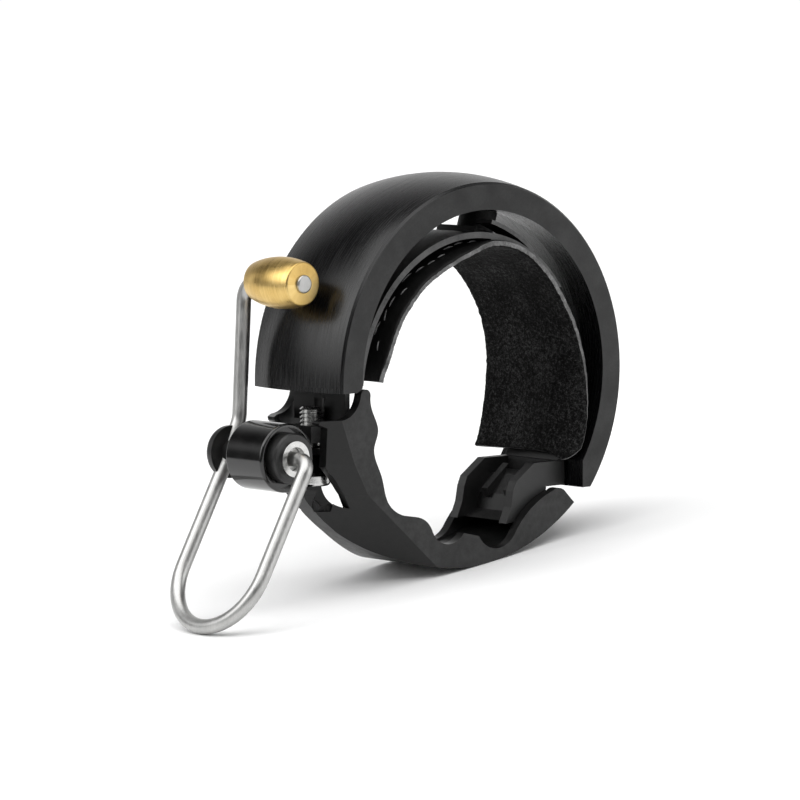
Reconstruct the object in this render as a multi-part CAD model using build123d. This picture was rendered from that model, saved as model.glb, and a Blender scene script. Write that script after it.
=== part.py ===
"""Ring-shaped bicycle bell for a 31.8 mm handlebar: chime, clamp, lined band and sprung striker.

Frame: the origin is on the handlebar's axis at mid-width. Y is the bar's axis, Z is up, and the
striker is on the -X side. All sizes are in millimetres.
"""
from build123d import *
from math import atan2, cos, degrees, radians, sin, sqrt
import os

os.makedirs("parts", exist_ok=True)

# ---- driving dimensions -------------------------------------------------------------------------
BAR_R = 15.9            # 31.8 mm handlebar
LINER_R = 15.95         # inner face of the soft liner
LINER_T = 0.9
LINER_HALF_W = 7.5
LINER_LEFT = 179.0      # angle of the liner's free end, from +X towards +Z
LINER_RIGHT = -6.0      # angle where the liner leaves the bar and runs straight down
LINER_FOOT_Z = -10.6    # height of the liner's lower end

CHIME_RIM_R = 24.0      # outer radius at both faces of the chime
CHIME_CROWN = 1.05      # how far the domed outer face stands above the rim
CHIME_HALF_W = 8.0
CHIME_LIP_R = 20.6      # bore under the front lip
CHIME_LIP_DEPTH = 3.5
CHIME_BORE_R = 21.9     # bore behind the lip
CHIME_LEFT_Z = -0.6     # level cut of the striker side end
CHIME_RIGHT_Z = -14.9   # level cut of the hinge side end
CHIME_RIGHT_X = 17.06   # upright inner face at the hinge side end
CHIME_SCREW_R = 1.05

BAND_T = 0.75
BAND_HALF_W = 7.0
ARM_HALF_W = 4.6        # the band's half width on the hinge side
BAND_CENTRE = (-0.9, -1.6)
BAND_R = 19.1           # middle of the free left part of the band
POST_ANGLE = 72.0       # where the band carries the chime
POST_R = 2.3

HINGE = (12.0, -17.3)   # pin that the lower bracket turns on
PIN_R = 0.8
KNUCKLE_R = 1.35
RUNNING = 0.05          # radial clearance of a shaft in its hole

BRACKET_HALF_W = 6.4
PLATE_T = 1.2
HOOK_HALF_W = 5.05

PIVOT = (-28.44, -8.27)  # striker axis
BARREL_R = 4.16
BARREL_HALF_L = 3.3
BARREL_BORE = 3.1
AXLE_R = 1.4
BUSH_R = 2.15
BUSH_END = 4.85          # how far the bushes reach from mid-width
CAP_R = 3.2
CAP_Y = 6.95             # near face of the axle's round head

WIRE_R = 0.9
LOOP_HALF_W = 7.2        # wire centre line from mid-width
LOOP_TILT = 29.3         # degrees of the loop from straight down, towards -X
LOOP_LEG = 15.08         # axis to the start of the round end
HAMMER_X = -26.0
HAMMER_Z = 12.4
HAMMER_R = 3.13
HAMMER_END_R = 2.6
HAMMER_L = 8.2
HAMMER_BEND = 2.45

SCREW_X = -21.7
THREAD_R = 1.42
SCREW_PITCH = 0.5
SCREW_TOP = -2.65
SCREW_RISE = 0.5         # how far the screw's tip climbs as the bracket swings shut
LUG_TOP = -4.9           # threaded lug on the band
LUG_BOTTOM = -6.9
LUG_HALF_W = 2.2
TIP_TRAVEL = 0.2         # play along X in the lug, for the bracket's swing
LEDGE_TOP = -7.55        # bracket's ledge between the threaded lug and the barrel's lug
EAR_TOP = -8.3           # lug of the barrel, which the screw passes
EAR_BOTTOM = -11.0
EAR_HALF_W = 2.05
HEAD_H = 1.25
HEAD_R = 2.4


# ---- helpers -------------------------------------------------------------------------------------
def polar(radius, angle):
    """Point in the XZ plane at an angle from +X towards +Z."""
    return (radius * cos(radians(angle)), radius * sin(radians(angle)))


def prism(face, y_low, y_high):
    """Extrude a face drawn in the XZ plane from y_low to y_high."""
    return extrude(Pos(0, y_low, 0) * (Plane.XZ * face), amount=y_high - y_low, dir=(0, 1, 0))


def box(x_low, x_high, y_low, y_high, z_low, z_high):
    size = (x_high - x_low, y_high - y_low, z_high - z_low)
    middle = ((x_low + x_high) / 2, (y_low + y_high) / 2, (z_low + z_high) / 2)
    return Pos(*middle) * Box(*size)


def rod_y(x, z, radius, y_low, y_high):
    """Solid cylinder along Y."""
    return Pos(x, (y_low + y_high) / 2, z) * Rot(90, 0, 0) * Cylinder(radius, y_high - y_low)


def tube_y(x, z, inner, outer, y_low, y_high):
    return rod_y(x, z, outer, y_low, y_high) - rod_y(x, z, inner, y_low - 1, y_high + 1)


def rod_z(x, y, radius, z_low, z_high):
    return Pos(x, y, (z_low + z_high) / 2) * Cylinder(radius, z_high - z_low)


def closed(*edges):
    return make_face(Wire(edges))


def write(shape, name):
    shape.label = name
    export_step(shape, f"parts/{name}.step")


# ---- chime ---------------------------------------------------------------------------------------
def bell_shell():
    """Domed C-shaped ring with a lip at the front, tapped blind for its one screw."""
    rim = CHIME_RIM_R
    half = CHIME_HALF_W
    edge = 0.3
    outer = ThreePointArc((rim, -half + edge), (rim + CHIME_CROWN, 0), (rim, half - edge))
    step_y = -half + CHIME_LIP_DEPTH
    rest = Polyline(
        (rim, half - edge),
        (rim - edge, half),
        (CHIME_BORE_R, half),
        (CHIME_BORE_R, step_y + 0.8),
        (CHIME_LIP_R, step_y),
        (CHIME_LIP_R, -half),
        (rim - edge, -half),
        (rim, -half + edge),
    )
    section = make_face(Wire([outer, *rest.edges()]))
    ring = revolve(section, Axis.Y, 360)
    ring -= box(-40, 0, -10, 10, -40, CHIME_LEFT_Z)
    ring -= box(-1, 40, -10, 10, -40, CHIME_RIGHT_Z)
    inner_end = box(10, CHIME_RIGHT_X, -10, 10, CHIME_RIGHT_Z - 1, -sqrt(CHIME_LIP_R**2 - CHIME_RIGHT_X**2))
    ring -= inner_end
    # bevel on the inner corner of the striker side end
    corner = -CHIME_LIP_R
    bevel = Polyline(
        (corner - 1.0, CHIME_LEFT_Z - 0.1),
        (corner + 0.5, CHIME_LEFT_Z - 0.1),
        (corner + 0.5, CHIME_LEFT_Z + 0.8),
        close=True,
    )
    ring -= prism(make_face(bevel), -10, 10)
    tapped = Rot(0, 90 - POST_ANGLE, 0) * rod_z(0, 0, CHIME_SCREW_R, CHIME_BORE_R - 1, CHIME_BORE_R + 2.0)
    return ring - tapped


# ---- band, post and liner ------------------------------------------------------------------------
PAD_R = (16.9, 18.3)     # thick stretch of the band under the post


def arm_outline(inner, outer):
    """Strip that follows the liner past the post, then runs straight down into the hook block."""
    top = POST_ANGLE + 12
    leave = 7.0
    middle = (top + leave) / 2
    return closed(
        ThreePointArc(polar(outer, top), polar(outer, middle), polar(outer, leave)),
        Line(polar(outer, leave), (18.45, -5.8)),
        ThreePointArc((18.45, -5.8), (18.35, -6.9), (18.0, -8.0)),
        Line((18.0, -8.0), (16.45, -12.4)),
        Line((16.45, -12.4), (15.68, -12.4)),
        Line((15.68, -12.4), (17.25, -7.8)),
        ThreePointArc((17.25, -7.8), (17.6, -6.8), (17.7, -5.8)),
        Line((17.7, -5.8), polar(inner, leave)),
        ThreePointArc(polar(inner, leave), polar(inner, middle), polar(inner, top)),
        Line(polar(inner, top), polar(outer, top)),
    )


def upper_band():
    """Sprung band inside the chime, with its tongue, screw pad, tail and threaded lug."""
    cx, cz = BAND_CENTRE
    inner = BAND_R - BAND_T / 2
    outer = BAND_R + BAND_T / 2

    def on_band(radius, angle):
        x, z = polar(radius, angle)
        return (cx + x, cz + z)

    low, high = 66.0, 175.0
    middle = (low + high) / 2
    left = closed(
        ThreePointArc(on_band(outer, low), on_band(outer, middle), on_band(outer, high)),
        Line(on_band(outer, high), on_band(inner, high)),
        ThreePointArc(on_band(inner, high), on_band(inner, middle), on_band(inner, low)),
        Line(on_band(inner, low), on_band(outer, low)),
    )
    arm_inner = LINER_R + LINER_T + 0.02
    arm = prism(arm_outline(arm_inner, arm_inner + BAND_T), -BAND_HALF_W, BAND_HALF_W)
    # the arm is narrower beside the chime's free end
    for side in (-1, 1):
        low_y, high_y = sorted((side * ARM_HALF_W, side * (BAND_HALF_W + 1)))
        arm -= box(0, 30, low_y, high_y, -20, 10.5)
    band = prism(left, -BAND_HALF_W, BAND_HALF_W) + arm
    # pad that takes the chime's screw
    pad = Rot(0, 90 - POST_ANGLE, 0) * box(-3.2, 3.2, -3.4, 3.4, PAD_R[0] + 0.1, PAD_R[1])
    band += pad
    # springy tongue that points back over the band
    tongue = Spline((9.2, 15.2), (5.6, 17.55), (1.9, 19.05))
    strip = trace(tongue, 0.5)
    band += prism(strip.face(), -BAND_HALF_W, -4.2)
    # tail between the bracket's horns, and the lug that the clamp screw threads into
    tail_outer = on_band(outer, high)
    tail = Polyline(
        tail_outer,
        (-20.35, -1.5),
        (-20.35, LUG_TOP),
        (SCREW_X - 2.0, LUG_TOP),
        (SCREW_X - 2.0, LUG_BOTTOM),
        (-19.0, LUG_BOTTOM),
        (-19.0, -1.5),
        on_band(inner, high),
        close=True,
    )
    band += prism(make_face(tail), -LUG_HALF_W, LUG_HALF_W)
    wide_tail = Polyline(
        tail_outer,
        (-20.35, -1.5),
        (-20.35, LUG_TOP + 0.4),
        (-19.6, LUG_TOP + 0.4),
        (-19.6, -1.5),
        on_band(inner, high),
        close=True,
    )
    band += prism(make_face(wide_tail), -4.6, 4.6)
    # the hole is long enough for the screw to tip with the bracket, and grooves the tail above it
    tap = THREAD_R + RUNNING
    top = SCREW_TOP + SCREW_RISE + 0.4
    band -= rod_z(SCREW_X, 0, tap, LUG_BOTTOM - 1, top)
    band -= rod_z(SCREW_X + TIP_TRAVEL, 0, tap, LUG_BOTTOM - 1, top)
    band -= box(SCREW_X, SCREW_X + TIP_TRAVEL, -tap, tap, LUG_BOTTOM - 1, top)
    # countersunk hole of the chime's screw
    hole = rod_z(0, 0, CHIME_SCREW_R + 0.1, PAD_R[0] - 1, PAD_R[1] + 1)
    sink = rod_z(0, 0, 2.0, PAD_R[0] - 1, PAD_R[0] + 0.75)
    return band - Rot(0, 90 - POST_ANGLE, 0) * (hole + sink)


def at_post(shape):
    """Carry a shape from the Z axis to the chime's post."""
    return Rot(0, 90 - POST_ANGLE, 0) * shape


def chime_grommet():
    ring = rod_z(0, 0, POST_R, PAD_R[1], CHIME_BORE_R + 1) - rod_z(0, 0, 1.5, 0, 30)
    return at_post(ring) & rod_y(0, 0, CHIME_BORE_R, -10, 10)


def chime_sleeve():
    ring = rod_z(0, 0, 1.5, PAD_R[1], CHIME_BORE_R + 1) - rod_z(0, 0, CHIME_SCREW_R + 0.05, 0, 30)
    return at_post(ring) & rod_y(0, 0, CHIME_BORE_R, -10, 10)


def chime_screw():
    shank = rod_z(0, 0, CHIME_SCREW_R, PAD_R[0] + 0.75, CHIME_BORE_R + 1.7)
    head = rod_z(0, 0, 1.9, PAD_R[0] + 0.1, PAD_R[0] + 0.75)
    drive = extrude(Pos(0, 0, PAD_R[0]) * RegularPolygon(0.85, 6), amount=0.6)
    return at_post(head + shank - drive)


def liner_strap():
    """Soft liner of the bar's seat: an arc that runs straight down at its hinge side end."""
    inner = LINER_R
    outer = LINER_R + LINER_T
    down = radians(LINER_RIGHT)

    def foot(radius):
        x, z = polar(radius, LINER_RIGHT)
        run = (z - LINER_FOOT_Z) / cos(down)
        return (x + run * sin(down), LINER_FOOT_Z)

    middle = (LINER_LEFT + LINER_RIGHT) / 2
    face = closed(
        ThreePointArc(polar(outer, LINER_LEFT), polar(outer, middle), polar(outer, LINER_RIGHT)),
        Line(polar(outer, LINER_RIGHT), foot(outer)),
        Line(foot(outer), foot(inner)),
        Line(foot(inner), polar(inner, LINER_RIGHT)),
        ThreePointArc(polar(inner, LINER_RIGHT), polar(inner, middle), polar(inner, LINER_LEFT)),
        Line(polar(inner, LINER_LEFT), polar(outer, LINER_LEFT)),
    )
    return prism(face, -LINER_HALF_W, LINER_HALF_W)


# ---- hook block and hinge ------------------------------------------------------------------------
def hook_block():
    """Moulded end of the band: two cheeks, a ribbed back wall and a knuckle for the hinge pin."""
    cheek_t = 1.3
    back_x = 16.76
    cheek = Polyline(
        (11.3, -11.65),
        (8.2, -13.75),
        (7.65, -15.0),
        (7.3, -16.9),
        (6.4, -18.9),
        (HINGE[0] - 0.3, HINGE[1] - 1.2),
        (HINGE[0] + 1.2, HINGE[1] + 0.6),
        (13.5, -14.75),
        (back_x, -14.75),
        (back_x, -11.65),
        close=True,
    )
    solid = prism(make_face(cheek), -HOOK_HALF_W, HOOK_HALF_W)
    pocket = Polyline(
        (11.6, -11.0),
        (6.0, -14.5),
        (5.0, -20.0),
        (9.8, -17.9),
        (10.3, -15.9),
        (12.4, -13.6),
        (15.3, -13.3),
        (15.3, -11.0),
        close=True,
    )
    solid -= prism(make_face(pocket), -HOOK_HALF_W + cheek_t, HOOK_HALF_W - cheek_t)
    ribs = Polyline((10.0, -16.4), (12.6, -13.5), (13.2, -12.3), (9.4, -15.2), close=True)
    for y in (-2.4, 1.4):
        solid += prism(make_face(ribs), y, y + 1.0)
    solid += rod_y(*HINGE, KNUCKLE_R, -HOOK_HALF_W, HOOK_HALF_W)
    slit = prism(arm_outline(LINER_R + LINER_T, LINER_R + LINER_T + BAND_T + 0.04), -ARM_HALF_W, ARM_HALF_W)
    solid -= slit
    return solid - rod_y(*HINGE, PIN_R + RUNNING, -HOOK_HALF_W - 1, HOOK_HALF_W + 1)


def hinge_pin():
    return rod_y(*HINGE, PIN_R, -HOOK_HALF_W - 0.75, HOOK_HALF_W + 0.75)


# ---- lower bracket -------------------------------------------------------------------------------
OUTER_CENTRE = (-1.65, 6.7)
OUTER_R = 30.2
TIP = (17.1, -16.85)


def on_outer(angle, radius=OUTER_R):
    x, z = polar(radius, angle)
    return (OUTER_CENTRE[0] + x, OUTER_CENTRE[1] + z)


def bracket_face():
    """Side view: horn, scallops, two scoops, tip, round outer edge, arm and the flat spur."""
    tip_angle = degrees(atan2(TIP[1] - OUTER_CENTRE[1], TIP[0] - OUTER_CENTRE[0]))
    tip = on_outer(tip_angle)
    arm_angle = -142.9
    scallops = Spline(
        (-17.85, -1.4),
        (-17.5, -3.2),
        (-16.6, -5.75),
        (-17.2, -7.5),
        (-16.0, -11.2),
        (-14.95, -14.4),
        (-12.5, -16.15),
        (-10.0, -16.6),
        (-7.6, -18.4),
    )
    horn_left = (-19.4, -1.1)
    cradle_r = BARREL_R + 0.02
    cradle = []
    for angle in (-50.5, -46.0, -41.4):
        x, z = polar(cradle_r, angle)
        cradle.append((PIVOT[0] + x, PIVOT[1] + z))
    return closed(
        ThreePointArc(horn_left, (-18.7, -0.45), (-17.85, -1.4)),
        scallops,
        ThreePointArc((-7.6, -18.4), (-5.0, -20.35), (-2.2, -19.2)),
        Line((-2.2, -19.2), (0.4, -19.8)),
        ThreePointArc((0.4, -19.8), (3.6, -21.6), (6.7, -19.9)),
        ThreePointArc((6.7, -19.9), (9.6, -17.0), (13.4, -15.15)),
        ThreePointArc((13.4, -15.15), (14.9, -15.0), (15.7, -15.55)),
        Line((15.7, -15.55), tip),
        ThreePointArc(tip, on_outer((tip_angle + arm_angle) / 2), cradle[0]),
        ThreePointArc(*cradle),
        Line(cradle[2], (-24.4, -11.05)),
        Line((-24.4, -11.05), (-24.3, -12.45)),
        Line((-24.3, -12.45), (-22.75, -12.7)),
        ThreePointArc((-22.75, -12.7), (-21.45, -14.05), (-19.1, -15.0)),
        Line((-19.1, -15.0), (-20.7, -12.9)),
        Line((-20.7, -12.9), (-21.8, -11.3)),
        Line((-21.8, -11.3), (-23.1, -9.7)),
        Line((-23.1, -9.7), (-23.7, -4.9)),
        Line((-23.7, -4.9), (-24.5, -4.5)),
        ThreePointArc((-24.5, -4.5), (-24.6, -4.25), (-24.4, -4.05)),
        Line((-24.4, -4.05), (-22.4, -3.95)),
        ThreePointArc((-22.4, -3.95), (-20.25, -2.9), horn_left),
    )


NECKS = ((22.44, -159.0, 0.86), (22.4, -150.6, 0.92), (21.91, -130.4, 1.24))


def narrow(body, half_w, floor_w):
    """Slope both sides in towards the striker, from three lines in the side view."""
    for start, angle, slope in NECKS:
        reach = (half_w - floor_w) / slope
        far = start + 16
        for side in (-1, 1):
            wedge = Polyline(
                (start, side * (half_w + 0.001)),
                (start + reach, side * floor_w),
                (far, side * floor_w),
                (far, side * (half_w + 3)),
                (start, side * (half_w + 3)),
                close=True,
            )
            body -= Rot(0, -angle, 0) * extrude(make_face(wedge), amount=60, both=True)
    return body


def base_bracket():
    body = narrow(prism(bracket_face(), -BRACKET_HALF_W, BRACKET_HALF_W), BRACKET_HALF_W, 1.3)
    # hollow between the two side plates, closed by a web along the outer edge
    web = 1.1
    tip_angle = -48.0
    left_angle = -141.0
    hollow = closed(
        ThreePointArc(
            on_outer(tip_angle, OUTER_R - web),
            on_outer((tip_angle + left_angle) / 2, OUTER_R - web),
            on_outer(left_angle, OUTER_R - web),
        ),
        Line(on_outer(left_angle, OUTER_R - web), (-27, -4)),
        Line((-27, -4), (-27, 2)),
        Line((-27, 2), (22.0, 2.0)),
        Line((22.0, 2.0), on_outer(tip_angle, OUTER_R - web)),
    )
    inner_w = BRACKET_HALF_W - PLATE_T
    body -= narrow(prism(hollow, -inner_w, inner_w), inner_w, 0.02)
    # the arm behind the screw's head is solid, and so is the ledge the barrel's lug seats on
    ledge = narrow(box(-23.1, -18.6, -inner_w - 0.3, inner_w + 0.3, EAR_TOP + 0.01, LEDGE_TOP), inner_w + 0.3, 0.1)
    root = box(-18.9, -17.6, -inner_w - 0.3, inner_w + 0.3, -11.5, LEDGE_TOP)
    body += ledge + root
    body -= box(-24.0, SCREW_X, -1.5, 1.5, -9.0, -7.0) + rod_z(SCREW_X, 0, 1.5, -9.0, -7.0)
    # shallow grooves that let a hex key past the arm
    for side in (-1, 1):
        body -= rod_z(SCREW_X - 0.3, side * 2.35, 1.25, -15.4, -12.5)
    body -= rod_z(SCREW_X, 0, HEAD_R + 0.3, -12.8, EAR_TOP - 0.5)
    # the plates' blind holes for the ends of the hinge pin
    return body - rod_y(*HINGE, PIN_R, -HOOK_HALF_W - 0.75, HOOK_HALF_W + 0.75)


# ---- barrel and what is in it --------------------------------------------------------------------
def spring_barrel():
    """Tube along Y with a counterbored lip at both ends and a lug that the clamp screw passes."""
    x, z = PIVOT
    body = rod_y(x, z, BARREL_R, -BARREL_HALF_L, BARREL_HALF_L)
    rims = body.edges().filter_by(GeomType.CIRCLE)
    body = fillet(rims, 0.35)
    body += box(x, SCREW_X, -EAR_HALF_W, EAR_HALF_W, EAR_BOTTOM, EAR_TOP)
    body += rod_z(SCREW_X, 0, EAR_HALF_W, EAR_BOTTOM, EAR_TOP)
    body -= rod_z(SCREW_X, 0, THREAD_R + RUNNING, -20, 0)
    body -= rod_y(x, z, BARREL_BORE, -10, 10)
    for side in (-1, 1):
        low, high = sorted((side * (BARREL_HALF_L - 0.7), side * (BARREL_HALF_L + 1)))
        body -= rod_y(x, z, BARREL_BORE + 0.6, low, high)
    return body


def barrel_collar(side):
    low, high = sorted((side * 2.7, side * 4.5))
    ring = tube_y(*PIVOT, BUSH_R, BARREL_BORE, low, high)
    outer_edge = ring.edges().filter_by(GeomType.CIRCLE).filter_by(lambda e: abs(e.radius - BARREL_BORE) < 0.01)
    tip = [e for e in outer_edge if abs(e.center().Y - side * 4.5) < 0.01]
    return chamfer(tip, 0.2)


def pivot_bush(side):
    low, high = sorted((side * 2.7, side * BUSH_END))
    return tube_y(*PIVOT, AXLE_R + RUNNING, BUSH_R, low, high)


def torsion_spring():
    """Close-wound coil on the axle, with one short leg out to the barrel's wall."""
    x, z = PIVOT
    wire = 0.3
    coil_r = 2.2
    pitch = 0.66
    height = pitch * 7
    path = Helix(pitch, height, coil_r)
    profile = Plane(path @ 0, z_dir=path % 0) * Circle(wire)
    coil = sweep(profile, path=path)
    leg = Pos(coil_r + 0.42, 0, 0) * Rot(0, 90, 0) * Cylinder(wire, 0.84)
    return Pos(x, height / 2, z) * Rot(90, 0, 0) * (coil + leg)


# ---- striker -------------------------------------------------------------------------------------
def leg_point(distance):
    tilt = radians(LOOP_TILT)
    return (PIVOT[0] - distance * sin(tilt), PIVOT[1] - distance * cos(tilt))


def wire_path():
    """Hammer arm, bend at the axle, loop, and the end that turns into the near bush."""
    far = LOOP_HALF_W
    near = -LOOP_HALF_W
    tilt = radians(LOOP_TILT)
    down = Vector(-sin(tilt), 0, -cos(tilt))
    arm_foot = (HAMMER_X - 0.9, far, PIVOT[1] + 4.0)
    points = [
        (HAMMER_X, far - HAMMER_BEND - HAMMER_L - 0.35, HAMMER_Z),
        (HAMMER_X, far, HAMMER_Z),
        arm_foot,
        (leg_point(1.6)[0], far, leg_point(1.6)[1]),
    ]
    radii = [HAMMER_BEND, 3.0]
    upper = FilletPolyline(*points, radius=radii)
    leg_top = Vector(*points[-1])
    far_end = Vector(leg_point(LOOP_LEG)[0], far, leg_point(LOOP_LEG)[1])
    near_end = Vector(leg_point(LOOP_LEG)[0], near, leg_point(LOOP_LEG)[1])
    lowest = (far_end + near_end) * 0.5 + down * LOOP_HALF_W
    bend = 1.7
    bush_y = -3.3
    turn_start = Vector(leg_point(bend)[0], near, leg_point(bend)[1])
    turn_end = Vector(PIVOT[0], near + bend, PIVOT[1])
    corner = Vector(PIVOT[0], near, PIVOT[1])
    half = (turn_start + turn_end) * 0.5
    centre = Vector(leg_point(bend)[0], near + bend, leg_point(bend)[1])
    turn_middle = centre + (corner - centre).normalized() * bend
    lower = [
        Line(leg_top, far_end),
        ThreePointArc(far_end, lowest, near_end),
        Line(near_end, turn_start),
        ThreePointArc(turn_start, turn_middle, turn_end),
        Line(turn_end, (PIVOT[0], bush_y, PIVOT[1])),
    ]
    return Wire([*upper.edges(), *lower])


def striker_wire():
    path = wire_path()
    profile = Plane(path @ 0, z_dir=path % 0) * Circle(WIRE_R)
    wire = sweep(profile, path=path, transition=Transition.ROUND)
    y_end = LOOP_HALF_W - HAMMER_BEND - HAMMER_L
    rivet = rod_y(HAMMER_X, HAMMER_Z, 1.1, y_end - 0.4, y_end)
    rim = rivet.edges().filter_by(GeomType.CIRCLE).sort_by(Axis.Y)[0]
    return wire + fillet(rim, 0.25)


def hammer():
    """Turned barrel shape on the wire's end."""
    y_far = LOOP_HALF_W - HAMMER_BEND
    y_near = y_far - HAMMER_L
    y_mid = (y_far + y_near) / 2
    side = ThreePointArc((HAMMER_END_R, y_near), (HAMMER_R, y_mid), (HAMMER_END_R - 0.25, y_far))
    face = make_face(
        Wire(
            [
                side,
                Line((HAMMER_END_R - 0.25, y_far), (WIRE_R + 0.01, y_far)),
                Line((WIRE_R + 0.01, y_far), (WIRE_R + 0.01, y_near)),
                Line((WIRE_R + 0.01, y_near), (HAMMER_END_R, y_near)),
            ]
        )
    )
    body = revolve(face, Axis.Y, 360)
    rim = body.edges().filter_by(GeomType.CIRCLE).filter_by(lambda e: e.radius > 2)
    return Pos(HAMMER_X, 0, HAMMER_Z) * fillet(rim, 0.22)


def pivot_axle():
    """Shaft bored at the near side for the wire's end."""
    shaft = rod_y(*PIVOT, AXLE_R, -3.9, CAP_Y - 0.75)
    return shaft - rod_y(*PIVOT, WIRE_R + 0.01, -5.0, -3.3)


def axle_cap():
    """Round cap on the axle's far end, grooved for the wire that crosses it."""
    disc = rod_y(*PIVOT, CAP_R, CAP_Y, CAP_Y + 1.5)
    disc = fillet(disc.edges().filter_by(GeomType.CIRCLE).sort_by(Axis.Y)[-1], 1.05)
    disc += rod_y(*PIVOT, AXLE_R + 0.1, CAP_Y - 0.75, CAP_Y)
    return disc - wire_room()


def wire_room():
    """The wire's own shape near the axle, a hair larger, to cut its groove."""
    path = wire_path()
    profile = Plane(path @ 0, z_dir=path % 0) * Circle(WIRE_R + 0.01)
    wire = sweep(profile, path=path, transition=Transition.ROUND)
    return wire & box(PIVOT[0] - 5, PIVOT[0] + 5, 5.5, 9, PIVOT[1] - 5, PIVOT[1] + 5)


# ---- clamp screw ---------------------------------------------------------------------------------
def clamp_screw():
    """Button head below, plain shank, and a grooved thread at the top."""
    under_head = EAR_BOTTOM - 0.02
    bottom = under_head - HEAD_H
    head = rod_z(SCREW_X, 0, HEAD_R, bottom, under_head)
    head = fillet(head.edges().filter_by(GeomType.CIRCLE).sort_by(Axis.Z)[0], 0.45)
    drive = extrude(Pos(SCREW_X, 0, bottom) * RegularPolygon(1.4, 6), amount=1.2)
    thread = thread_rod()
    return head + thread - drive


def thread_rod():
    """Shank whose threaded stretch is a row of V grooves at the screw's pitch."""
    under_head = EAR_BOTTOM - 0.02
    depth = 0.26
    thread_low = -9.0
    turns = round((SCREW_TOP - 0.3 - thread_low) / SCREW_PITCH)
    points = [(0, under_head - 0.1), (THREAD_R, under_head - 0.1), (THREAD_R, thread_low)]
    for turn in range(turns):
        z = thread_low + turn * SCREW_PITCH
        points += [(THREAD_R - depth, z + SCREW_PITCH * 0.5), (THREAD_R, z + SCREW_PITCH)]
    top = points[-1][1]
    points += [(THREAD_R - 0.35, top + 0.3), (0, top + 0.3)]
    face = Plane.XZ * make_face(Polyline(*points, close=True))
    return Pos(SCREW_X, 0, 0) * revolve(face, Axis.Z, 360)


# ---- write every piece ---------------------------------------------------------------------------
PIECES = {
    "bell_shell": bell_shell,
    "upper_band": upper_band,
    "chime_grommet": chime_grommet,
    "chime_sleeve": chime_sleeve,
    "chime_screw": chime_screw,
    "liner_strap": liner_strap,
    "hook_block": hook_block,
    "hinge_pin": hinge_pin,
    "base_bracket": base_bracket,
    "spring_barrel": spring_barrel,
    "near_collar": lambda: barrel_collar(-1),
    "far_collar": lambda: barrel_collar(1),
    "near_bush": lambda: pivot_bush(-1),
    "far_bush": lambda: pivot_bush(1),
    "torsion_spring": torsion_spring,
    "striker_wire": striker_wire,
    "hammer": hammer,
    "pivot_axle": pivot_axle,
    "axle_cap": axle_cap,
    "clamp_screw": clamp_screw,
}

for name, make in PIECES.items():
    write(make(), name)
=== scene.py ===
"""Looks of a ring-shaped bicycle bell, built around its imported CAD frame.

Everything is in metres in the CAD frame: the origin is on the handlebar's axis at mid-width, Y is
the bar's axis, Z is up, and the striker is on the -X side.
"""
import math

import bmesh
import bpy
from mathutils import Matrix, Vector, noise


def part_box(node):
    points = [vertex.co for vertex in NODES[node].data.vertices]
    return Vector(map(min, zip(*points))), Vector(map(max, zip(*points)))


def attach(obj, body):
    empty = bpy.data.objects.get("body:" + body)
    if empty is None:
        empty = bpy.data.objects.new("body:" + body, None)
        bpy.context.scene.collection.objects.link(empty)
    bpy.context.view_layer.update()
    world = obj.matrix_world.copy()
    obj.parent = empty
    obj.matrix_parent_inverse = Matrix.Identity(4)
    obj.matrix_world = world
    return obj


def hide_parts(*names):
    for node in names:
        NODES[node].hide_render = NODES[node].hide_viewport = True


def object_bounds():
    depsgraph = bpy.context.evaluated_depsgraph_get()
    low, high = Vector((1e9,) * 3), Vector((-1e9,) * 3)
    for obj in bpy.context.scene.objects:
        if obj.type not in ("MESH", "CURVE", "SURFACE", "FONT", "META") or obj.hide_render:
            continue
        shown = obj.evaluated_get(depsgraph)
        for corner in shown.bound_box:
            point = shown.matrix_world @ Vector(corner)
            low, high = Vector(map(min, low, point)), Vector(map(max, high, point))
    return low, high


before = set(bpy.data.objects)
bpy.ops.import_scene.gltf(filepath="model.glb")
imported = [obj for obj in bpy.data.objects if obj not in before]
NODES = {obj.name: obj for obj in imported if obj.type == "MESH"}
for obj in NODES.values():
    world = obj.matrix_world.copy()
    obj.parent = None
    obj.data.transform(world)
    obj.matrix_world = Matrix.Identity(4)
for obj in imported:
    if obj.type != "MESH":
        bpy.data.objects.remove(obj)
CAD_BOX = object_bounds()
MM = 0.001


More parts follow.
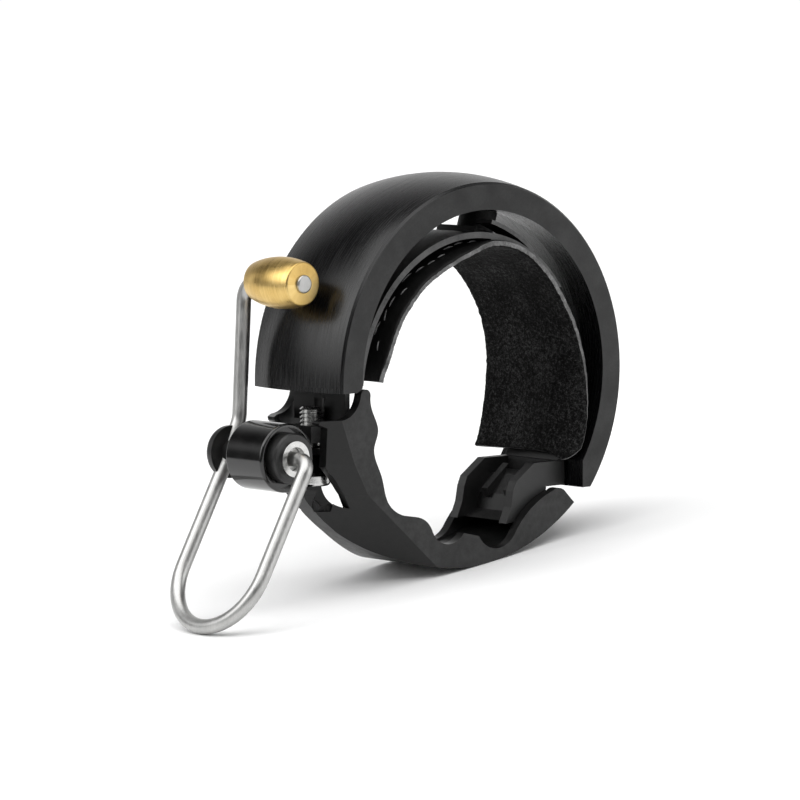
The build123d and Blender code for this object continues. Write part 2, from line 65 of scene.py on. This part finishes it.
# ---- material kit --------------------------------------------------------------------------------
class Finish:
    """A node material with short ways to add the nodes it needs."""

    def __init__(self, name):
        self.mat = bpy.data.materials.new(name)
        self.mat.use_nodes = True
        self.nodes = self.mat.node_tree.nodes
        self.links = self.mat.node_tree.links
        self.shader = self.nodes["Principled BSDF"]
        coords = self.nodes.new("ShaderNodeTexCoord")
        self.place = coords.outputs["Object"]
        self.facing = coords.outputs["Normal"]

    def put(self, socket, value):
        """Links a socket, or sets its plain value."""
        if isinstance(value, bpy.types.NodeSocket):
            self.links.new(value, socket)
        else:
            socket.default_value = value

    def const(self, **values):
        """Plain values on the shader's own sockets, with _ for each space in a name."""
        for key, value in values.items():
            self.shader.inputs[key.replace("_", " ")].default_value = value

    def math(self, operation, a, b=0.0):
        node = self.nodes.new("ShaderNodeMath")
        node.operation = operation
        self.put(node.inputs[0], a)
        self.put(node.inputs[1], b)
        return node.outputs[0]

    def times(self, a, b):
        return self.math("MULTIPLY", a, b)

    def weigh(self, a, share_a, b, share_b):
        """Two values added, each times its share."""
        return self.math("ADD", self.times(a, share_a), self.times(b, share_b))

    def split(self, vector):
        node = self.nodes.new("ShaderNodeSeparateXYZ")
        self.links.new(vector, node.inputs[0])
        return node.outputs[0], node.outputs[1], node.outputs[2]

    def join(self, x, y, z):
        node = self.nodes.new("ShaderNodeCombineXYZ")
        for socket, value in zip(node.inputs, (x, y, z)):
            self.put(socket, value)
        return node.outputs[0]

    def scaled(self, x, y, z):
        """Object position, each axis times its own number."""
        px, py, pz = self.split(self.place)
        return self.join(self.times(px, x), self.times(py, y), self.times(pz, z))

    def from_axis(self, centre):
        """Object position from an axis along Y through centre (x, z)."""
        px, py, pz = self.split(self.place)
        return self.math("SUBTRACT", px, centre[0]), py, self.math("SUBTRACT", pz, centre[1])

    def turned(self, centre, around, along):
        """Coordinates of lines turned about an axis: the angle and the length, each scaled."""
        dx, py, dz = self.from_axis(centre)
        angle = self.math("ARCTAN2", dz, dx)
        return self.join(self.times(angle, around), self.times(py, along), 0.0)

    def swirl(self, centre):
        """Direction round an axis, for the stretch of brushed highlights."""
        dx, _, dz = self.from_axis(centre)
        return self.join(dz, 0.0, self.times(dx, -1.0))

    def noise(self, vector, scale=1.0, detail=3.0, rough=0.55, distortion=0.0):
        node = self.nodes.new("ShaderNodeTexNoise")
        node.inputs["Scale"].default_value = scale
        node.inputs["Detail"].default_value = detail
        node.inputs["Roughness"].default_value = rough
        node.inputs["Distortion"].default_value = distortion
        self.links.new(vector, node.inputs["Vector"])
        return node.outputs["Fac"]

    def cells(self, vector, scale):
        """Distance to the nearest of scattered points."""
        node = self.nodes.new("ShaderNodeTexVoronoi")
        node.inputs["Scale"].default_value = scale
        self.links.new(vector, node.inputs["Vector"])
        return node.outputs["Distance"]

    def ramp(self, value, *stops):
        """Grey levels or colours at places along a value."""
        node = self.nodes.new("ShaderNodeValToRGB")
        band = node.color_ramp
        while len(band.elements) < len(stops):
            band.elements.new(0.5)
        for element, (place, colour) in zip(band.elements, stops):
            element.position = place
            rgb = colour if isinstance(colour, tuple) else (colour,) * 3
            element.color = (*rgb, 1.0)
        self.links.new(value, node.inputs["Fac"])
        return node.outputs["Color"]

    def spread(self, value, low, high, to_low, to_high):
        """Smooth step from one range of values to another."""
        node = self.nodes.new("ShaderNodeMapRange")
        node.interpolation_type = "SMOOTHSTEP"
        self.links.new(value, node.inputs["Value"])
        ends = {"From Min": low, "From Max": high, "To Min": to_low, "To Max": to_high}
        for name, number in ends.items():
            self.put(node.inputs[name], number)
        return node.outputs["Result"]

    def roughness(self, value, smooth, dull):
        """Roughness over the middle of a noise's range."""
        return self.spread(value, 0.3, 0.7, smooth, dull)

    def blend(self, factor, a, b):
        """Between a at 0 and b at 1, for numbers."""
        node = self.nodes.new("ShaderNodeMix")
        node.data_type = "FLOAT"
        self.links.new(factor, node.inputs[0])
        self.put(node.inputs[2], a)
        self.put(node.inputs[3], b)
        return node.outputs[0]

    def blend_colour(self, factor, a, b):
        """Between a at 0 and b at 1, for colours."""
        node = self.nodes.new("ShaderNodeMix")
        node.data_type = "RGBA"
        self.put(node.inputs[0], factor)
        self.put(node.inputs[6], a)
        self.put(node.inputs[7], b)
        return node.outputs[2]

    def relief(self, height, depth, strength=1.0, under=None):
        """Bump of a height from 0 to 1 over a depth in metres."""
        node = self.nodes.new("ShaderNodeBump")
        node.inputs["Distance"].default_value = depth
        node.inputs["Strength"].default_value = strength
        self.links.new(height, node.inputs["Height"])
        if under is not None:
            self.links.new(under, node.inputs["Normal"])
        return node.outputs["Normal"]

    def end_face(self):
        """1 on faces square to the bar's axis, 0 on the others."""
        across = self.math("ABSOLUTE", self.split(self.facing)[1])
        return self.spread(across, 0.86, 0.97, 0.0, 1.0)

    def done(self, colour, rough, normal=None, tangent=None):
        """The finished material, with what was given linked to the shader."""
        given = {"Base Color": colour, "Roughness": rough, "Normal": normal, "Tangent": tangent}
        for name, value in given.items():
            if value is not None:
                self.put(self.shader.inputs[name], value)
        return self.mat


# ---- materials -----------------------------------------------------------------------------------
# Noise scales are in cycles per metre, and a ramp's stops are (place, grey level or colour).
MICRON = 0.000001
RING_AXIS = (0.0, 0.0)      # x and z of the handlebar's axis


def anodised():
    """Black anodised aluminium: brushed round the dome, bead-blasted on the flat rims."""
    f = Finish("anodised_black")
    fine = f.noise(f.turned(RING_AXIS, 5.0, 5600.0), detail=4.0, rough=0.75)
    broad = f.noise(f.turned(RING_AXIS, 1.6, 1500.0), detail=2.0)
    grain = f.noise(f.place, scale=4300.0, detail=4.0, rough=0.75)
    mottle = f.noise(f.place, scale=260.0, detail=3.0)
    rim = f.end_face()
    brushed = f.weigh(fine, 0.85, broad, 0.15)
    dome = f.ramp(brushed, (0.3, (0.0008, 0.0008, 0.001)), (0.7, (0.0032, 0.0032, 0.0036)))
    flat = f.ramp(f.times(grain, mottle), (0.16, 0.004), (0.36, 0.021))
    rough = f.blend(rim, f.roughness(brushed, 0.18, 0.34), f.roughness(grain, 0.46, 0.58))
    normal = f.relief(f.blend(rim, brushed, grain), 6 * MICRON, 0.8)
    f.const(Anisotropic=0.6, Specular_IOR_Level=0.4)
    return f.done(f.blend_colour(rim, dome, flat), rough, normal, f.swirl(RING_AXIS))


def band_black():
    """Dark coated ring: a fine cast grain with lines brushed round it, and its sides painted paler as a
    highlight.
    """
    f = Finish("band_black")
    grain = f.noise(f.place, scale=1 / 0.00012, detail=4.0, rough=0.65)
    mottle = f.noise(f.place, scale=330.0, detail=4.0, rough=0.6)
    lines = f.noise(f.turned(RING_AXIS, 7.0, 5200.0), detail=3.0, rough=0.7)
    mixed = f.weigh(f.weigh(grain, 0.55, mottle, 0.45), 0.6, lines, 0.4)
    coat = f.ramp(mixed, (0.34, 0.0015), (0.64, 0.006))
    # painted highlight: faces square to the bar's axis get a much paler grey, standing in for light
    # caught on the band's edges
    painted_edge_highlight = f.ramp(mixed, (0.36, 0.025), (0.62, 0.1))
    colour = f.blend_colour(f.end_face(), coat, painted_edge_highlight)
    f.const(Specular_IOR_Level=0.26)
    return f.done(colour, f.spread(mixed, 0.32, 0.68, 0.26, 0.42), f.relief(mixed, 6 * MICRON, 0.6))


def bracket_black():
    """Cast clamp: satin black, with paler blasted side faces and slight wear on them; its other faces
    are painted darker as shade.
    """
    f = Finish("bracket_black")
    grain = f.noise(f.place, scale=4600.0, detail=4.0, rough=0.75)
    cast = f.noise(f.place, scale=1100.0, detail=3.0, rough=0.55)
    mottle = f.noise(f.place, scale=190.0, detail=3.0)
    side = f.end_face()
    mixed = f.weigh(grain, 0.5, cast, 0.5)
    # painted shade: every face but the sides gets a darker base, standing in for shade on the clamp's
    # inner and curved surfaces
    inner = f.ramp(mixed, (0.35, 0.0025), (0.65, 0.007))
    face = f.ramp(f.weigh(mixed, 0.7, mottle, 0.3), (0.38, 0.007), (0.6, 0.028))
    rough = f.blend(side, f.roughness(mixed, 0.28, 0.42), f.roughness(grain, 0.46, 0.6))
    normal = f.relief(grain, 5 * MICRON, 0.6, f.relief(cast, 10 * MICRON, 0.5))
    f.const(Specular_IOR_Level=0.34)
    return f.done(f.blend_colour(side, inner, face), rough, normal)


def gloss_black():
    """Black anodised barrel with a deep shine and faint turning marks."""
    f = Finish("gloss_black")
    lines = f.noise(f.scaled(260.0, 9500.0, 260.0), detail=3.0, rough=0.7)
    haze = f.noise(f.place, scale=420.0, detail=3.0)
    colour = f.ramp(haze, (0.35, 0.0022), (0.7, 0.0048))
    rough = f.spread(f.weigh(lines, 0.5, haze, 0.5), 0.35, 0.65, 0.11, 0.2)
    f.const(Coat_Weight=0.35, Coat_Roughness=0.08)
    return f.done(colour, rough, f.relief(lines, 1.2 * MICRON, 0.5))


def plastic(name, low, high, smooth, dull):
    """Black moulded plastic with a fine spark texture."""
    f = Finish(name)
    spark = f.noise(f.place, scale=5200.0, detail=3.0, rough=0.6)
    flow = f.noise(f.place, scale=300.0, detail=2.0)
    colour = f.ramp(f.weigh(spark, 0.4, flow, 0.6), (0.35, low), (0.65, high))
    return f.done(colour, f.roughness(spark, smooth, dull), f.relief(spark, 8 * MICRON, 0.6))


def drawn_steel(name, shade, smooth, dull, lines=(900.0, 900.0, 900.0), scratch=0.4):
    """Bare steel with fine drawing or turning marks and a slight haze."""
    f = Finish(name)
    marks = f.noise(f.scaled(*lines), detail=4.0, rough=0.75)
    haze = f.noise(f.place, scale=420.0, detail=4.0, rough=0.6)
    mixed = f.weigh(marks, scratch, haze, 1 - scratch)
    colour = f.ramp(mixed, (0.32, tuple(0.72 * c for c in shade)), (0.62, shade))
    f.const(Metallic=1.0)
    return f.done(colour, f.roughness(mixed, smooth, dull), f.relief(marks, 4 * MICRON, 0.5))


def brass():
    """Turned brass: fine rings round the hammer, warm colour drift and small scratches."""
    f = Finish("brass")
    low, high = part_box("hammer")
    centre = ((low[0] + high[0]) / 2, (low[2] + high[2]) / 2)
    rings = f.noise(f.turned(centre, 1.1, 8200.0), detail=4.0, rough=0.75)
    coarse = f.noise(f.turned(centre, 0.7, 1900.0), detail=2.0)
    drift = f.noise(f.place, scale=300.0, detail=3.0)
    scratch = f.noise(f.scaled(2600.0, 600.0, 5200.0), detail=5.0, rough=0.8)
    mixed = f.math("ADD", f.weigh(rings, 0.45, coarse, 0.3), f.times(drift, 0.25))
    tints = ((0.3, (0.41, 0.25, 0.07)), (0.5, (0.63, 0.43, 0.145)), (0.68, (0.8, 0.6, 0.26)))
    rough = f.roughness(f.weigh(rings, 0.6, scratch, 0.4), 0.24, 0.42)
    normal = f.relief(rings, 6 * MICRON, 0.6, f.relief(scratch, 3 * MICRON, 0.35))
    f.const(Metallic=1.0, Anisotropic=0.35)
    return f.done(f.ramp(mixed, *tints), rough, normal, f.swirl(centre))


def rubber():
    """Black rubber with a dry bloom on it."""
    f = Finish("grommet_rubber")
    skin = f.noise(f.place, scale=3800.0, detail=3.0)
    bloom = f.noise(f.place, scale=700.0, detail=2.0)
    colour = f.ramp(bloom, (0.35, 0.011), (0.65, 0.022))
    return f.done(colour, f.roughness(skin, 0.55, 0.75), f.relief(skin, 10 * MICRON, 0.5))


def suede():
    """Black napped suede: dark pile, pale lint in it and a soft sheen."""
    f = Finish("suede_face")
    pile = f.noise(f.place, scale=4400.0, detail=5.0, rough=0.85, distortion=0.6)
    clump = f.noise(f.place, scale=2300.0, detail=4.0, rough=0.7)
    brushed = f.noise(f.place, scale=210.0, detail=3.0, rough=0.5)
    lint = f.noise(f.place, scale=2900.0, detail=2.0, rough=0.9, distortion=1.2)
    mixed = f.math("ADD", f.weigh(pile, 0.55, clump, 0.32), f.times(brushed, 0.13))
    dark = f.ramp(mixed, (0.43, 0.0012), (0.51, 0.008), (0.585, 0.045))
    speck = f.spread(f.times(lint, pile), 0.36, 0.46, 0.0, 0.6)
    colour = f.blend_colour(speck, dark, (0.085, 0.085, 0.088, 1.0))
    normal = f.relief(pile, 60 * MICRON, 0.8, f.relief(clump, 120 * MICRON, 0.6))
    f.const(Sheen_Weight=0.025, Sheen_Roughness=0.4, Specular_IOR_Level=0.06)
    return f.done(colour, f.roughness(pile, 0.82, 0.98), normal)


def cut_edge():
    """Raw edge of the suede, where its grey fibre core shows."""
    f = Finish("suede_edge")
    fibre = f.noise(f.place, scale=4200.0, detail=5.0, rough=0.8)
    patch = f.noise(f.place, scale=700.0, detail=3.0)
    colour = f.ramp(f.weigh(fibre, 0.6, patch, 0.4), (0.34, 0.045), (0.5, 0.13), (0.66, 0.28))
    f.const(Specular_IOR_Level=0.2)
    return f.done(colour, f.roughness(fibre, 0.75, 0.95), f.relief(fibre, 50 * MICRON, 0.7))


def leather_back():
    """Smooth black back of the liner, with pores and soft creases across it."""
    f = Finish("liner_back")
    pores = f.cells(f.place, 3200.0)
    crease = f.noise(f.scaled(900.0, 2600.0, 900.0), detail=4.0, rough=0.6, distortion=0.8)
    mixed = f.weigh(pores, 0.5, crease, 0.5)
    colour = f.ramp(mixed, (0.25, 0.0012), (0.6, 0.0045))
    normal = f.relief(crease, 30 * MICRON, 0.5, f.relief(pores, 20 * MICRON, 0.5))
    f.const(Specular_IOR_Level=0.22)
    return f.done(colour, f.spread(mixed, 0.2, 0.7, 0.42, 0.62), normal)


def thread():
    """Grey sewing thread with its twist."""
    f = Finish("stitch_thread")
    twist = f.noise(f.place, scale=6500.0, detail=2.0)
    colour = f.ramp(twist, (0.35, 0.1), (0.65, 0.3))
    return f.done(colour, f.roughness(twist, 0.5, 0.7), f.relief(twist, 20 * MICRON, 0.6))


def floor_white():
    """Matt, nearly white surface with a trace of unevenness."""
    f = Finish("floor_white")
    soft = f.noise(f.place, scale=40.0, detail=2.0)
    f.const(Specular_IOR_Level=0.1)
    return f.done(f.ramp(soft, (0.3, 0.93), (0.7, 0.95)), f.roughness(soft, 0.85, 0.95))


STEEL = (0.52, 0.52, 0.51)
BRIGHT = (0.66, 0.66, 0.65)
SLOTS = {
    "anodised_black": anodised(),
    "band_black": band_black(),
    "grommet_rubber": rubber(),
    "steel": drawn_steel("steel", STEEL, 0.25, 0.42),
    "bright_steel": drawn_steel("bright_steel", BRIGHT, 0.16, 0.3, (1400.0, 1400.0, 5200.0)),
    "wire_steel": drawn_steel("wire_steel", STEEL, 0.3, 0.46, (5200.0, 5200.0, 700.0), 0.55),
    "block_plastic": plastic("block_plastic", 0.005, 0.012, 0.36, 0.5),
    "bracket_black": bracket_black(),
    "gloss_black": gloss_black(),
    "collar_plastic": plastic("collar_plastic", 0.006, 0.012, 0.34, 0.46),
    "cap_plastic": plastic("cap_plastic", 0.006, 0.013, 0.3, 0.42),
    "brass": brass(),
}
FINISHES = {
    "bell_shell": "anodised_black",
    "upper_band": "band_black",
    "chime_grommet": "grommet_rubber",
    "chime_sleeve": "steel",
    "chime_screw": "steel",
    "hinge_pin": "steel",
    "torsion_spring": "steel",
    "pivot_axle": "steel",
    "near_bush": "bright_steel",
    "far_bush": "bright_steel",
    "clamp_screw": "bright_steel",
    "striker_wire": "wire_steel",
    "hook_block": "block_plastic",
    "base_bracket": "bracket_black",
    "spring_barrel": "gloss_black",
    "near_collar": "collar_plastic",
    "far_collar": "collar_plastic",
    "axle_cap": "cap_plastic",
    "hammer": "brass",
}
for node, finish in FINISHES.items():
    piece = NODES[node]
    piece.data.materials.clear()
    piece.data.materials.append(SLOTS[finish])


# ---- soft liner ----------------------------------------------------------------------------------
LINER_HALF = 7.75 * MM          # half of its width
LINER_THICK = 0.82 * MM
FACE, EDGE, BACK = range(3)     # places of the liner's materials
# (degrees from +X towards +Z, inner radius in mm) along the strap's near edge, middle and far edge
NEAR_LINE = (
    (179, 16.9), (168, 15.9), (155, 15.6), (127, 15.0), (112, 14.8), (97, 15.2), (84, 16.1),
    (66, 16.4), (34, 16.0), (8, 16.9), (-12, 18.4), (-24, 19.4), (-39, 20.0),
)
MID_LINE = ((179, 16.1), (150, 15.9), (90, 15.93), (0, 15.93), (-10, 16.05), (-22, 16.75), (-35, 18.3))
FAR_LINE = (
    (179, 16.1), (150, 15.9), (90, 15.8), (52, 15.6), (25, 15.4),
    (-8, 15.35), (-22, 15.8), (-38, 16.9),
)


def along(line, share):
    """Point at a share of a line of (angle, radius), smoothed through its points."""
    angle = line[0][0] + (line[-1][0] - line[0][0]) * share
    i = max(k for k in range(len(line) - 1) if line[k][0] >= angle or k == 0)
    before, a, b, after = (line[max(0, min(len(line) - 1, j))] for j in (i - 1, i, i + 1, i + 2))
    t = (angle - a[0]) / (b[0] - a[0])
    slope_a = (b[1] - before[1]) / ((b[0] - before[0]) or 1) * (b[0] - a[0])
    slope_b = (after[1] - a[1]) / ((after[0] - a[0]) or 1) * (b[0] - a[0])
    radius = (
        (2 * t**3 - 3 * t**2 + 1) * a[1]
        + (t**3 - 2 * t**2 + t) * slope_a
        + (3 * t**2 - 2 * t**3) * b[1]
        + (t**3 - t**2) * slope_b
    )
    return math.radians(angle), radius * MM


def past(value, start):
    """0 up to start, then a straight rise to 1 where the value is 1."""
    return max(0.0, (value - start) / (1 - start))


def liner_point(share, across):
    """Inner face of the liner: share from its free end to its foot, across from -1 (near) to 1."""
    share *= 1 - 0.04 * past(-across, 0.66) ** 2.2      # cuts off the foot's near corner
    near, mid, far = (along(line, share) for line in (NEAR_LINE, MID_LINE, FAR_LINE))
    curl = past(-across, 0.42) ** 1.35
    lay = past(across, 0.0) ** 1.6
    angle, radius = (m + (n - m) * curl + (f - m) * lay for n, m, f in zip(near, mid, far))
    return Vector((radius * math.cos(angle), across * LINER_HALF, radius * math.sin(angle)))


def liner_normal(share, across):
    """Direction out of the liner, from its inner face towards its back."""
    step = 0.004
    along_it = liner_point(min(1.0, share + step), across) - liner_point(max(0.0, share - step), across)
    over_it = liner_point(share, min(1.0, across + step)) - liner_point(share, max(-1.0, across - step))
    return along_it.cross(over_it).normalized()


def new_piece(name, shape, *finishes):
    """Object in the scene made from a bmesh, with its materials in order."""
    mesh = bpy.data.meshes.new(name)
    shape.to_mesh(mesh)
    shape.free()
    for finish in finishes:
        mesh.materials.append(finish)
    piece = bpy.data.objects.new(name, mesh)
    bpy.context.scene.collection.objects.link(piece)
    return piece


def build_liner():
    """Closed strap: napped face inside, smooth back, and ragged cut edges."""
    long_steps, wide_steps = 300, 60
    nap_high, wave_high, fray_wide, rounding = 0.05 * MM, 0.05 * MM, 0.11 * MM, 0.12 * MM
    shape = bmesh.new()
    face, back = [], []
    for i in range(long_steps + 1):
        share = i / long_steps
        face.append([])
        back.append([])
        for j in range(wide_steps + 1):
            across = 2 * j / wide_steps - 1
            point = liner_point(share, across)
            out = liner_normal(share, across)
            rim = min(1 - abs(across), 2 * share, 2 * (1 - share))
            nap = noise.fractal(point * 2600.0, 0.6, 2.0, 4) * nap_high
            wave = noise.noise(point * 260.0) * wave_high
            ragged = max(0.0, 1 - rim / 0.05)
            fray = noise.noise(point * 1500.0 + Vector((7, 3, 5))) * fray_wide * ragged
            round_off = rounding * max(0.0, 1 - rim / 0.035) ** 2
            pressed = 0.4 * past(share, 0.86) * past(-across, 0.5)
            thick = LINER_THICK * (1 - pressed)
            shift = Vector((0, fray, 0)) + Vector((out.x, 0, out.z)) * wave
            face[i].append(shape.verts.new(point + shift + out * (nap + round_off)))
            back[i].append(shape.verts.new(point + shift + out * (thick - round_off)))
    for i in range(long_steps):
        for j in range(wide_steps):
            quad = shape.faces.new((face[i][j], face[i + 1][j], face[i + 1][j + 1], face[i][j + 1]))
            quad.material_index = FACE
            quad = shape.faces.new((back[i][j], back[i][j + 1], back[i + 1][j + 1], back[i + 1][j]))
            quad.material_index = BACK
    ring = [(i, 0) for i in range(long_steps)] + [(long_steps, j) for j in range(wide_steps)]
    ring += [(i, wide_steps) for i in range(long_steps, 0, -1)]
    ring += [(0, j) for j in range(wide_steps, 0, -1)]
    for (i, j), (m, n) in zip(ring, ring[1:] + ring[:1]):
        side = shape.faces.new((face[i][j], face[m][n], back[m][n], back[i][j]))
        side.material_index = EDGE
    bmesh.ops.recalc_face_normals(shape, faces=shape.faces)
    piece = new_piece("liner_suede", shape, suede(), cut_edge(), leather_back())
    for polygon in piece.data.polygons:
        polygon.use_smooth = polygon.material_index != EDGE
    return piece


def build_stitches():
    """Row of short thread stitches along the back of the liner's free part."""
    count, sides, rings = 12, 8, 9
    first, last = 0.06, 0.43        # shares of the liner where the row starts and ends
    thread_r, sunk, arch = 0.09 * MM, 0.04 * MM, 0.1 * MM
    shape = bmesh.new()
    for k in range(count):
        start = first + (last - first) * k / count
        wobble = noise.noise(Vector((k * 1.7, 0.4, 2.2)))
        end = start + (last - first) / count * (0.72 + 0.3 * wobble)
        slant = 0.09 * noise.noise(Vector((k * 2.3, 5.1, 0.7)))
        loops = []
        for i in range(rings):
            t = i / (rings - 1)
            share = start + (end - start) * t
            across = -0.7 + 0.14 * wobble + slant * (t - 0.5)
            out = liner_normal(share, across)
            lift = LINER_THICK - sunk + arch * math.sin(math.pi * t)
            centre = liner_point(share, across) + out * lift
            ahead = liner_point(share + 0.001, across) - liner_point(share - 0.001, across)
            side = ahead.normalized().cross(out).normalized()
            swell = thread_r * (0.35 + 0.65 * math.sin(math.pi * (0.1 + 0.8 * t)) ** 0.5)
            loops.append([])
            for s in range(sides):
                turn = 2 * math.pi * s / sides
                bulge = side * swell * math.cos(turn) + out * swell * math.sin(turn)
                loops[i].append(shape.verts.new(centre + bulge))
        for a, b in zip(loops, loops[1:]):
            for s in range(sides):
                shape.faces.new((a[s], a[(s + 1) % sides], b[(s + 1) % sides], b[s]))
        shape.faces.new(loops[0])
        shape.faces.new(loops[-1][::-1])
    bmesh.ops.recalc_face_normals(shape, faces=shape.faces)
    piece = new_piece("liner_stitches", shape, thread())
    for polygon in piece.data.polygons:
        polygon.use_smooth = True
    return piece


def strip_size():
    """Flat width and length of the strap, measured along its middle."""
    steps = 200
    points = [liner_point(k / steps, 0.0) for k in range(steps + 1)]
    length = sum((b - a).length for a, b in zip(points, points[1:]))
    return 2 * LINER_HALF, length


liner = build_liner()
stitches = build_stitches()
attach(liner, "ring")
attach(stitches, "ring")
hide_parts("liner_strap")
strip_size()


# ---- floor ---------------------------------------------------------------------------------------
BACK_X, BACK_R = -1.65 * MM, 30.2 * MM      # axis and radius of the bracket's round back
WIRE_R = 0.9 * MM
FLOOR_GAP = 0.02 * MM
FLOOR_REACH = 0.32


def build_floor():
    """Pale plane that the bracket's round back and the end of the wire loop both stand on."""
    bracket_low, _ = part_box("base_bracket")
    wire_low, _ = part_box("striker_wire")
    hub = Vector((BACK_X, 0, bracket_low[2] + BACK_R))
    tip = Vector((wire_low[0] + WIRE_R, 0, wire_low[2] + WIRE_R))
    gap = hub - tip
    tilt = math.acos((BACK_R - WIRE_R) / math.hypot(gap.x, gap.z)) - math.atan2(gap.x, gap.z)
    up = Vector((-math.sin(tilt), 0, math.cos(tilt)))
    level = Vector((math.cos(tilt), 0, math.sin(tilt)))
    middle = hub - up * (BACK_R + FLOOR_GAP)
    shape = bmesh.new()
    corners = []
    for a, b in ((-1, -1), (1, -1), (1, 1), (-1, 1)):
        corner = middle + level * a * FLOOR_REACH + Vector((0, b * FLOOR_REACH, 0))
        corners.append(shape.verts.new(corner))
    shape.faces.new(corners)
    floor = new_piece("floor", shape, floor_white())


build_floor()


# ---- light and camera ----------------------------------------------------------------------------
def new_lamp(name, kind, direction):
    """Lamp that shines from a direction, and the object that holds it."""
    lamp = bpy.data.lights.new(name, kind)
    holder = bpy.data.objects.new(name, lamp)
    bpy.context.scene.collection.objects.link(holder)
    holder.rotation_euler = direction.to_track_quat("Z", "Y").to_euler()
    return lamp, holder


def area_light(name, towards, distance, size, radiance):
    """Soft rectangular lamp in a direction from the object's middle, facing it."""
    direction = Vector(towards).normalized()
    lamp, holder = new_lamp(name, "AREA", direction)
    lamp.shape = "RECTANGLE"
    lamp.size, lamp.size_y = size
    lamp.energy = radiance * math.pi * size[0] * size[1]
    middle = (Vector(CAD_BOX[0]) + Vector(CAD_BOX[1])) / 2
    holder.location = middle + direction * distance


area_light("lamp_left", (-0.8, 0.26, 0.54), 0.5, (0.2, 0.2), 1.2)
area_light("lamp_front", (0.55, -0.8, 0.25), 0.6, (0.4, 0.3), 1.5)
area_light("lamp_rim", (-0.35, 0.93, 0.12), 0.6, (0.1, 0.3), 1.2)

overhead, _ = new_lamp("lamp_overhead", "SUN", Vector((-0.3, -0.2, 1.0)))
overhead.energy = 2.7
overhead.angle = math.radians(75)


class Sky:
    """World brightness as a sum of soft patches, each round a direction."""

    def __init__(self):
        self.world = bpy.data.worlds.new("studio")
        bpy.context.scene.world = self.world
        self.world.use_nodes = True
        self.nodes = self.world.node_tree.nodes
        self.links = self.world.node_tree.links
        self.way = self.nodes.new("ShaderNodeTexCoord").outputs["Generated"]
        self.total = None

    def patch(self, direction, outer, inner, strength):
        """Adds strength inside the inner angle, fading to none at the outer one, in degrees."""
        dot = self.nodes.new("ShaderNodeVectorMath")
        dot.operation = "DOT_PRODUCT"
        self.links.new(self.way, dot.inputs[0])
        dot.inputs[1].default_value = Vector(direction).normalized()
        fade = self.nodes.new("ShaderNodeMapRange")
        fade.interpolation_type = "SMOOTHSTEP"
        self.links.new(dot.outputs["Value"], fade.inputs["Value"])
        fade.inputs["From Min"].default_value = math.cos(math.radians(outer))
        fade.inputs["From Max"].default_value = math.cos(math.radians(inner))
        fade.inputs["To Max"].default_value = strength
        if self.total is None:
            self.total = fade.outputs["Result"]
            return
        both = self.nodes.new("ShaderNodeMath")
        self.links.new(self.total, both.inputs[0])
        self.links.new(fade.outputs["Result"], both.inputs[1])
        self.total = both.outputs[0]

    def done(self, seen_white):
        """Lights the scene with the sum, and shows the camera plain white behind the object."""
        path = self.nodes.new("ShaderNodeLightPath")
        seen = self.nodes.new("ShaderNodeMix")
        seen.data_type = "FLOAT"
        self.links.new(path.outputs["Is Camera Ray"], seen.inputs[0])
        self.links.new(self.total, seen.inputs[2])
        seen.inputs[3].default_value = seen_white
        self.links.new(seen.outputs[0], self.nodes["Background"].inputs["Strength"])
        self.nodes["Background"].inputs["Color"].default_value = (1.0, 1.0, 1.0, 1.0)


sky = Sky()
sky.patch((0.0, 0.0, 1.0), 180, 0, 0.17)
sky.patch((-0.82, 0.34, 0.46), 33, 6, 2.2)
sky.patch((0.68, 0.73, 0.0), 70, 20, 0.75)
sky.patch((0.7, -0.7, 0.1), 65, 15, 0.35)
sky.patch((0.05, 0.75, 0.66), 42, 18, -0.14)
sky.done(1.02)
bpy.context.scene.view_settings.view_transform = "Standard"

camera_data = bpy.data.cameras.new("camera")
camera_data.lens = 180.0
camera_data.sensor_width = 36.0
camera = bpy.data.objects.new("camera", camera_data)
bpy.context.scene.collection.objects.link(camera)
back = Vector((-0.6807, -0.7268, 0.0919)).normalized()
right = Vector((0.7299, -0.6836, 0.0)).normalized()
axes = Matrix((right, back.cross(right), back)).transposed()
camera.matrix_world = Matrix.Translation((-0.3423, -0.3580, 0.0424)) @ axes.to_4x4()
bpy.context.scene.camera = camera
